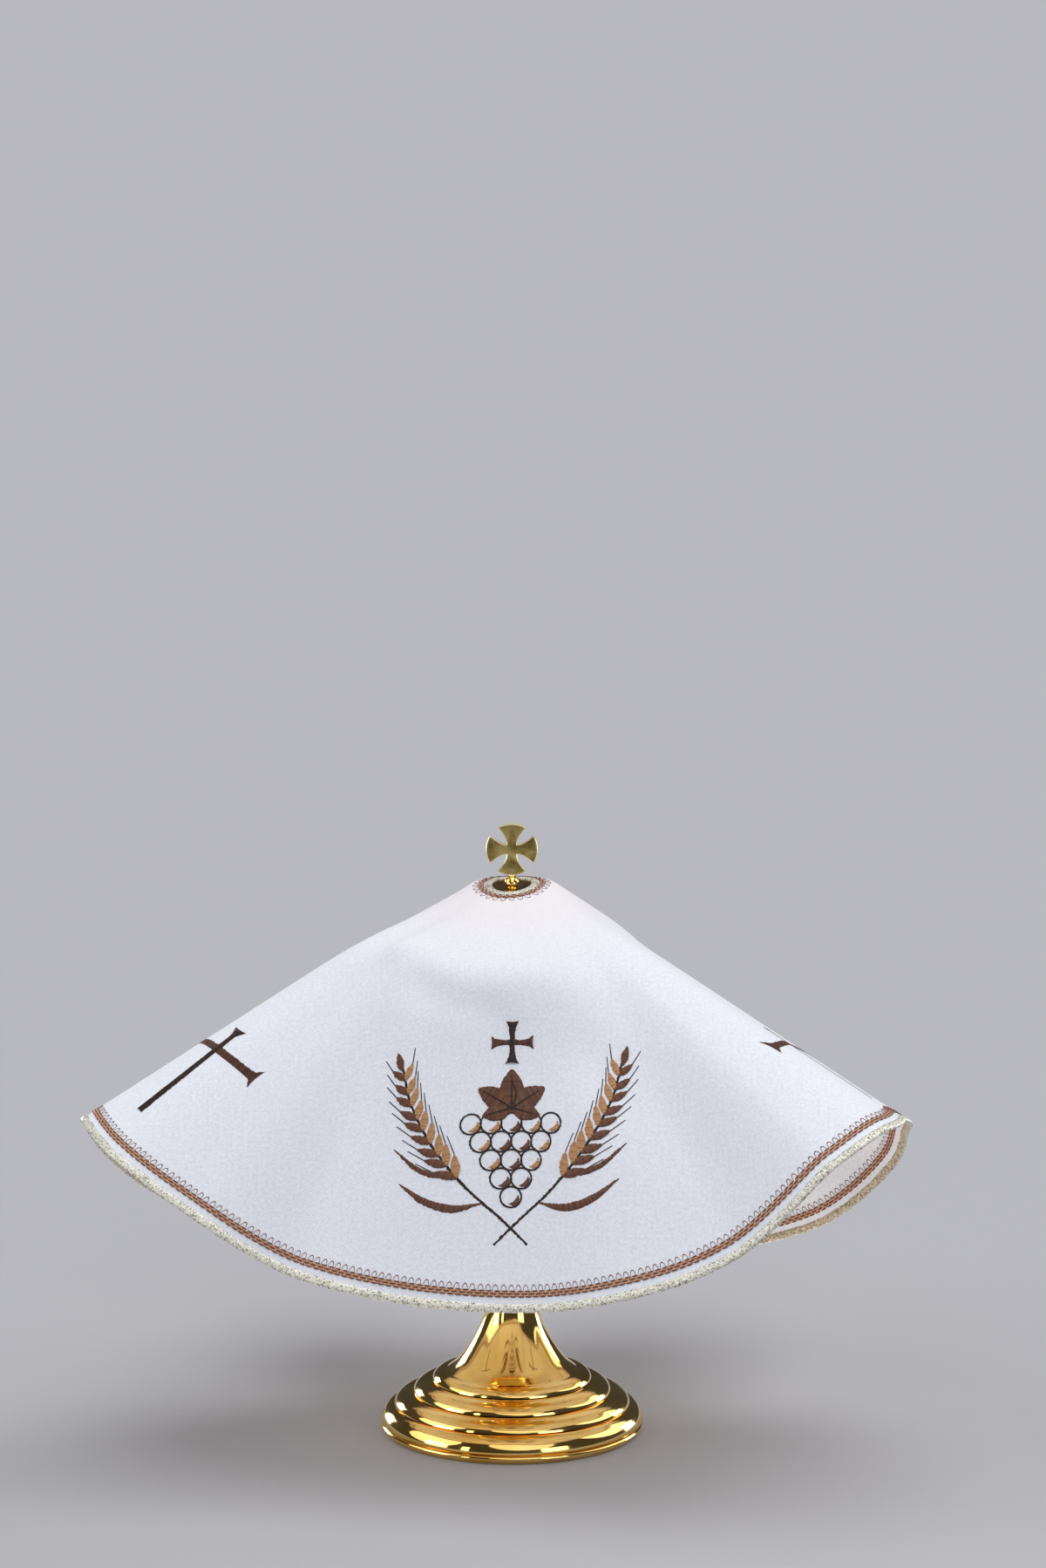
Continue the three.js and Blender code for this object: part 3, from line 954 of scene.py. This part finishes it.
def earLines():
    path, along = smoothLine(wheatStalk(), 1.0)
    grains, awns = [], []
    start = along[-1] * 0.42
    for i in range(front["earGrains"]):
        k = int((start + (along[-1] - start) * i / front["earGrains"]) / along[-1] * (len(path) - 1))
        x, y, _ = path[k]
        nx, ny, _ = path[min(k + 2, len(path) - 1)]
        lean = math.degrees(math.atan2(nx - x, ny - y))
        length, width = front["grain"]
        size = 1 - 0.25 * i / front["earGrains"]
        for turn in (-33, 33):
            grains.append(leafShape(x, y, lean + turn, length * size, width * size))
            tip = grains[-1][-1]
            far = math.radians(lean + turn * 0.55)
            across, up = math.sin(far) * front["awn"] * size, math.cos(far) * front["awn"] * size
            awns.append([(tip[0], tip[1], 0.5), (tip[0] + across, tip[1] + up, 0.4)])
    x, y, _ = path[-1]
    grains.append(leafShape(x, y - 2, -14, front["grain"][0] * 0.9, front["grain"][1] * 0.8))
    return grains, awns


def bladeLines():
    return [
        [(-12, -27, 0.6), (-24, -29, 3.4), (-36, -25, 3.0), (-47, -16, 0.5)],
        [(-25, -13, 0.6), (-31, -14, 2.4), (-40, -10, 2.2), (-50, 0, 0.4)],
    ]


def grapeDiscs():
    radius = front["grapeRadius"]
    discs = []
    for count, y in front["grapeRows"]:
        for i in range(count):
            discs.append((radius * 1.9 * (i - (count - 1) / 2), y, radius))
    return discs


def outlineOf(x, y, radius):
    spots = [math.radians(20 * i) for i in range(19)]
    return [(x + radius * math.sin(a), y + radius * math.cos(a), 0.8) for a in spots]


def shadedSide(x, y, radius):
    spots = [(75, 0.5), (105, 1.6), (135, 2.3), (165, 1.6), (195, 0.5)]
    turns = [(math.radians(angle), width) for angle, width in spots]
    return [(x + radius * 0.68 * math.sin(a), y + radius * 0.68 * math.cos(a), width) for a, width in turns]


def makeFrontDesign():
    bm = bmesh.new()
    chance = random.Random(41)
    place = motifPlace(0, front["radius"])
    dark, red, brown, tan = 0, 1, 2, 3

    def sew(line, material, **more):
        for side in (1, -1):
            addStroke(bm, line, place, chance, material, side=side, **more)

    for flip in (list, mirrored):
        sew(flip(wheatStalk()), dark, crown=0.25)
        for line in bladeLines():
            sew(flip(line), brown)
        grains, awns = earLines()
        for line in awns:
            sew(flip(line), dark, crown=0.15)
        for i, line in enumerate(grains):
            sew(flip(line), tan if i % 2 else brown, pile=0.15)
    # the vine leaf: lobes from one foot, with darker veins
    foot = front["leafFoot"]
    for angle, length, width in front["lobes"]:
        sew(leafShape(0, foot, angle, length, width), brown, pile=0.05)
        turn = math.radians(angle)
        tip = (math.sin(turn) * length * 0.85, foot + math.cos(turn) * length * 0.85, 0.45)
        sew([(0, foot, 0.9), tip], dark, crown=0.25, pile=0.6)
    for x, y, radius in grapeDiscs():
        sew(shadedSide(x, y, radius), tan if (x + y) % 2 < 1 else brown)
        sew(outlineOf(x, y, radius * 0.97), dark, crown=0.3, pile=0.1)
    sew([(0, foot, 1.2), (2, foot + 6, 1.1), (0, foot + 12, 1.0)], dark, pile=0.4)
    # the small cross above
    (cx, cy), arm = front["cross"]["centre"], front["cross"]["arm"]
    flare, waist = front["cross"]["flare"], front["cross"]["waist"]
    half = [(0.45, waist), (0.78, flare * 0.62), (1, flare)]
    reach = [(-s, w) for s, w in half[::-1]] + [(0, waist * 0.9)] + half
    sew([(cx + arm * s, cy, w) for s, w in reach], red, dip=0.5)
    sew([(cx, cy + arm * s, w) for s, w in reach], dark, dip=0.5, pile=0.15)
    materials = ["darkSatin", "redSatin", "brownSatin", "tanSatin"]
    return hangMesh(addPiece("embroidered_front", bm, materials))


sewnPieces.append(makeFrontDesign())
print("front design embroidered")


# the ciborium, spun in gold; profiles are (radius, height) in millimetres
ciborium = {
    "base": (57.6, 0.9),  # flat radius, rounding of its edge
    "bead": ((58.2, 2.4), (1.7, 1.5)),  # centre and radii of the bead along the rim
    "tiers": [(60, 53.5, 4.3, 12), (54, 45, 12, 17.5), (45.3, 36.3, 17.5, 23.2), (36.5, 29.8, 23.2, 27.8)],
    "trumpet": [(29.5, 28, 0), (24.4, 32.5, 0), (17.6, 42.5, 0), (13, 52.5, 0), (10.8, 64, 0), (10.5, 72, 0)],
    "knop": (17, 75, 94),
    "stem": (9.5, 99.7),
    "cup": [(11, 100, 0), (30, 106, 0), (48, 126, 0), (55, 160, 0), (54.5, 211, 0)],
    "cupDraw": 0.97,
    "lid": [(54, 218.5, 0), (40, 232, 0), (20, 243, 0), (6, 247.5, 0)],
    "lidDraw": 0.955,
    "lidBottom": 211.3,
    "lidFlange": ((56.4, 213.4), (0.6, 2.1)),  # centre and radii of its rounded edge
    "collar": [(0, 247.8), (4.2, 247.8), (4.5, 248.0), (4.5, 248.4), (4.2, 248.6)],
    "finial": {
        "neck": 1.8, "neckFoot": 248.7, "ball": 3.25, "centre": 252.0,
        "pegRadius": 1.0, "pegTop": 256.6, "pegAngle": 72,
    },
    "steps": 160,
}


def arc(centre, radii, start, end, count):
    turns = [math.radians(start + (end - start) * i / count) for i in range(count + 1)]
    return [(centre[0] + radii[0] * math.cos(a), centre[1] + radii[1] * math.sin(a)) for a in turns]


def curveRow(rows, pitch=1.5):
    path, _ = smoothLine(rows, pitch)
    return [(float(r), float(z)) for r, z, _ in path]


def drawnIn(profile, factor, height):
    return [(r * factor, height + (z - height) * factor) for r, z in profile]


def spunPiece(name, profile, material, node, steps=None, sharp=32):
    bm = spun([(r * mm, z * mm) for r, z in profile], steps or ciborium["steps"])
    bmesh.ops.recalc_face_normals(bm, faces=bm.faces[:])
    piece = addPiece(name, bm, [material], sharp)
    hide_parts(node)
    return piece


def footProfile():
    flat, edge = ciborium["base"]
    profile = [(0, 0.0), (flat, 0.0)] + arc((flat, edge), (edge, edge), -90, 0, 4)
    profile += arc(*ciborium["bead"], -80, 80, 10)
    for outer, inner, bottom, top in ciborium["tiers"]:
        profile += [(outer - 0.9, bottom)] + arc((inner, bottom), (outer - inner, top - bottom), 4, 90, 12)
    profile += curveRow(ciborium["trumpet"])
    radius, bottom, top = ciborium["knop"]
    stem, stemTop = ciborium["stem"]
    profile += arc((stem, (bottom + top) / 2), (radius - stem, (top - bottom) / 2), -90, 90, 20)
    return profile + [(stem, stemTop), (0, stemTop)]


def cupProfile():
    outside = curveRow(ciborium["cup"], 2.5)
    rim = outside[-1][1]
    inside = drawnIn(outside, ciborium["cupDraw"], rim)[::-1]
    return [(0, outside[0][1])] + outside + inside + [(0, inside[-1][1])]


def lidProfile():
    dome, bottom = curveRow(ciborium["lid"], 2.0), ciborium["lidBottom"]
    inside = drawnIn(dome, ciborium["lidDraw"], bottom)[::-1]
    centre, bulge = ciborium["lidFlange"]
    flange = [(inside[-1][0], bottom), (centre[0], bottom)] + arc(centre, bulge, -90, 90, 8)
    return [(0, inside[0][1])] + inside + flange + dome + [(0, dome[-1][1])]


def finialProfile():
    finial = ciborium["finial"]
    neck, ball, centre = finial["neck"], finial["ball"], finial["centre"]
    collar = ciborium["collar"] + [(neck, finial["neckFoot"])]
    start = -math.degrees(math.acos(neck / ball))
    # a peg stands on the ball and holds the cross
    peg = [(finial["pegRadius"], finial["pegTop"]), (0, finial["pegTop"])]
    return collar + arc((0, centre), (ball, ball), start, finial["pegAngle"], 20) + peg


# four arms that widen to one circle: a flat outline, pushed back and bevelled
finialCross = {
    "radius": 11.7, "height": 267.3, "half": 1.1, "bevel": 0.4,
    "waist": 2.3, "armEnd": 6.4, "flare": 0.55,
}


def crossOutline():
    radius, waist, end = finialCross["radius"], finialCross["waist"], finialCross["armEnd"]
    half = math.asin(end / radius)
    tip, pull = radius * math.cos(half), finialCross["flare"]
    steps = [i / 10 for i in range(10)]
    side = []
    for t in steps:  # from the crotch to the corner of an arm
        a, b, c = (1 - t) ** 2, 2 * t * (1 - t), t * t
        side.append((a * waist + b * tip * pull + c * tip, a * waist + b * waist + c * end))
    edge = [(radius * math.cos(half * s), radius * math.sin(half * s)) for s in (1, 0.75, 0.5, 0.25, 0)]
    lower = [(x, -y) for x, y in side + edge[:-1]]
    return lower[1:] + edge[::-1] + side[:0:-1] + [(waist, waist)]


def makeFinialCross():
    bm = bmesh.new()
    outline = crossOutline()
    ring = []
    for arm in range(4):
        c, s = round(math.cos(arm * math.pi / 2)), round(math.sin(arm * math.pi / 2))
        ring += [(c * x - s * z, s * x + c * z) for x, z in outline]
    verts = [bm.verts.new((x, -finialCross["half"], z)) for x, z in ring]
    face = bm.faces.new(verts)
    pushed = bmesh.ops.extrude_face_region(bm, geom=[face])["geom"]
    moved = [g for g in pushed if isinstance(g, bmesh.types.BMVert)]
    bmesh.ops.translate(bm, verts=moved, vec=(0, 2 * finialCross["half"], 0))
    bmesh.ops.recalc_face_normals(bm, faces=bm.faces[:])
    rim = [edge for edge in bm.edges if any(len(f.verts) > 4 for f in edge.link_faces)]
    bmesh.ops.bevel(
        bm, geom=rim, offset=finialCross["bevel"], offset_type="OFFSET", affect="EDGES",
        segments=2, profile=0.5, material=-1,
    )
    for f in bm.faces:
        f.material_index = 0 if len(f.verts) > 4 else 1
    bmesh.ops.translate(bm, verts=bm.verts[:], vec=(0, 0, finialCross["height"]))
    bmesh.ops.scale(bm, verts=bm.verts[:], vec=(mm, mm, mm))
    piece = addPiece("finial_cross_gold", bm, ["brushed", "edgeHighlightGold"], 30)
    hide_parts("finial_cross")


spunPiece("foot_gold", footProfile(), "gold", "foot")
spunPiece("cup_gold", cupProfile(), "gold", "cup")
lidPiece = spunPiece("lid_gold", lidProfile(), "gold", "lid")
spunPiece("finial_gold", finialProfile(), "gold", "finial", 48)
makeFinialCross()
print("ciborium spun")

# studio: pale floor, broad soft lights from above, low boxes that the gold reflects
studio = {
    "floor": (0.44, 0.44, 0.46),
    "ambient": 0.20,
    "ambientTint": (0.95, 0.97, 1.10),
    "reflected": 0.06,
    "softness": 50,
    "suns": [  # name, azimuth from the front, elevation, power
        ("top", 60, 82, 1.42),
        ("key", 10, 40, 0.64),
        ("fill", -80, 30, 0.84),
        ("back", 110, 38, 0.95),
    ],
    # low boxes that light the gold alone
    "boxDistance": 1.5,
    "boxMiddle": 0.28,
    "boxHeight": 0.52,
    "boxes": [  # name, azimuth from the front, width, watts
        ("left wide", -68, 0.60, 2.8),
        ("left narrow", -40, 0.17, 0.9),
        ("right wide", 37, 0.62, 2.8),
        ("right rim", 124, 0.46, 7.0),
        ("left rim", -140, 0.40, 7.0),
    ],
    "boxAim": (0, 0, 0.12),
    # a card on the floor, under the veil
    "bounce": {"size": 0.32, "watts": 0.5, "tint": (1.0, 0.90, 0.80)},
}


def makeFloor():
    bm = bmesh.new()
    bmesh.ops.create_grid(bm, x_segments=2, y_segments=2, size=40)
    mesh = bpy.data.meshes.new("floor")
    bm.to_mesh(mesh)
    bm.free()
    material, _, shader = startMaterial("pale floor")
    shader["Base Color"].default_value = (*studio["floor"], 1)
    shader["Roughness"].default_value = 0.9
    shader["Specular IOR Level"].default_value = 0.0
    mesh.materials.append(material)
    floor = bpy.data.objects.new("floor", mesh)
    scene.collection.objects.link(floor)


def addLight(data, place, aim, lightsCloth=True, reflected=True):
    light = bpy.data.objects.new(data.name, data)
    light.visible_diffuse, light.visible_glossy = lightsCloth, reflected
    light.location = place
    light.rotation_euler = (Vector(aim) - Vector(place)).to_track_quat("-Z", "Y").to_euler()
    scene.collection.objects.link(light)


def makeLights():
    for name, azimuth, elevation, power in studio["suns"]:
        data = bpy.data.lights.new(name, "SUN")
        data.energy, data.angle = power, math.radians(studio["softness"])
        rise, turn = math.radians(elevation), math.radians(azimuth)
        away = math.cos(rise)
        addLight(data, (away * math.sin(turn), -away * math.cos(turn), math.sin(rise)), (0, 0, 0))
    for name, azimuth, width, watts in studio["boxes"]:
        data = bpy.data.lights.new(name, "AREA")
        data.shape = "RECTANGLE"
        data.size, data.size_y, data.energy = width, studio["boxHeight"], watts
        turn, away = math.radians(azimuth), studio["boxDistance"]
        place = (away * math.sin(turn), -away * math.cos(turn), studio["boxMiddle"])
        addLight(data, place, studio["boxAim"], lightsCloth=False)
    card = studio["bounce"]
    data = bpy.data.lights.new("bounce", "AREA")
    data.shape, data.size, data.energy, data.color = "DISK", card["size"], card["watts"], card["tint"]
    addLight(data, (0, 0, mm), (0, 0, 1), reflected=False)


# the sky seen by the camera has the tone of the far floor, so that no horizon shows
def makeWorld():
    lit = sum(power * math.sin(math.radians(rise)) for _, _, rise, power in studio["suns"]) / math.pi
    farFloor = [a * (lit + studio["ambient"] * t) for a, t in zip(studio["floor"], studio["ambientTint"])]
    world = bpy.data.worlds.new("studio")
    world.use_nodes = True
    scene.world = world
    tree = world.node_tree
    glow = tree.nodes["Background"]
    glow.inputs[0].default_value = (*studio["ambientTint"], 1)
    glow.inputs[1].default_value = studio["ambient"]
    dim = addNode(tree, "ShaderNodeBackground")
    dim.inputs[0].default_value = (1, 1, 1, 1)
    dim.inputs[1].default_value = studio["reflected"]
    seen = addNode(tree, "ShaderNodeBackground")
    seen.inputs[0].default_value = (*farFloor, 1)
    path = addNode(tree, "ShaderNodeLightPath")
    sky = glow.outputs[0]
    for ray, background in (("Is Glossy Ray", dim), ("Is Camera Ray", seen)):
        mix = addNode(tree, "ShaderNodeMixShader")
        feed(tree, mix.inputs[0], path.outputs[ray])
        feed(tree, mix.inputs[1], sky)
        feed(tree, mix.inputs[2], background.outputs[0])
        sky = mix.outputs[0]
    feed(tree, tree.nodes["World Output"].inputs[0], sky)


makeFloor()
makeLights()
makeWorld()
print("studio lit")
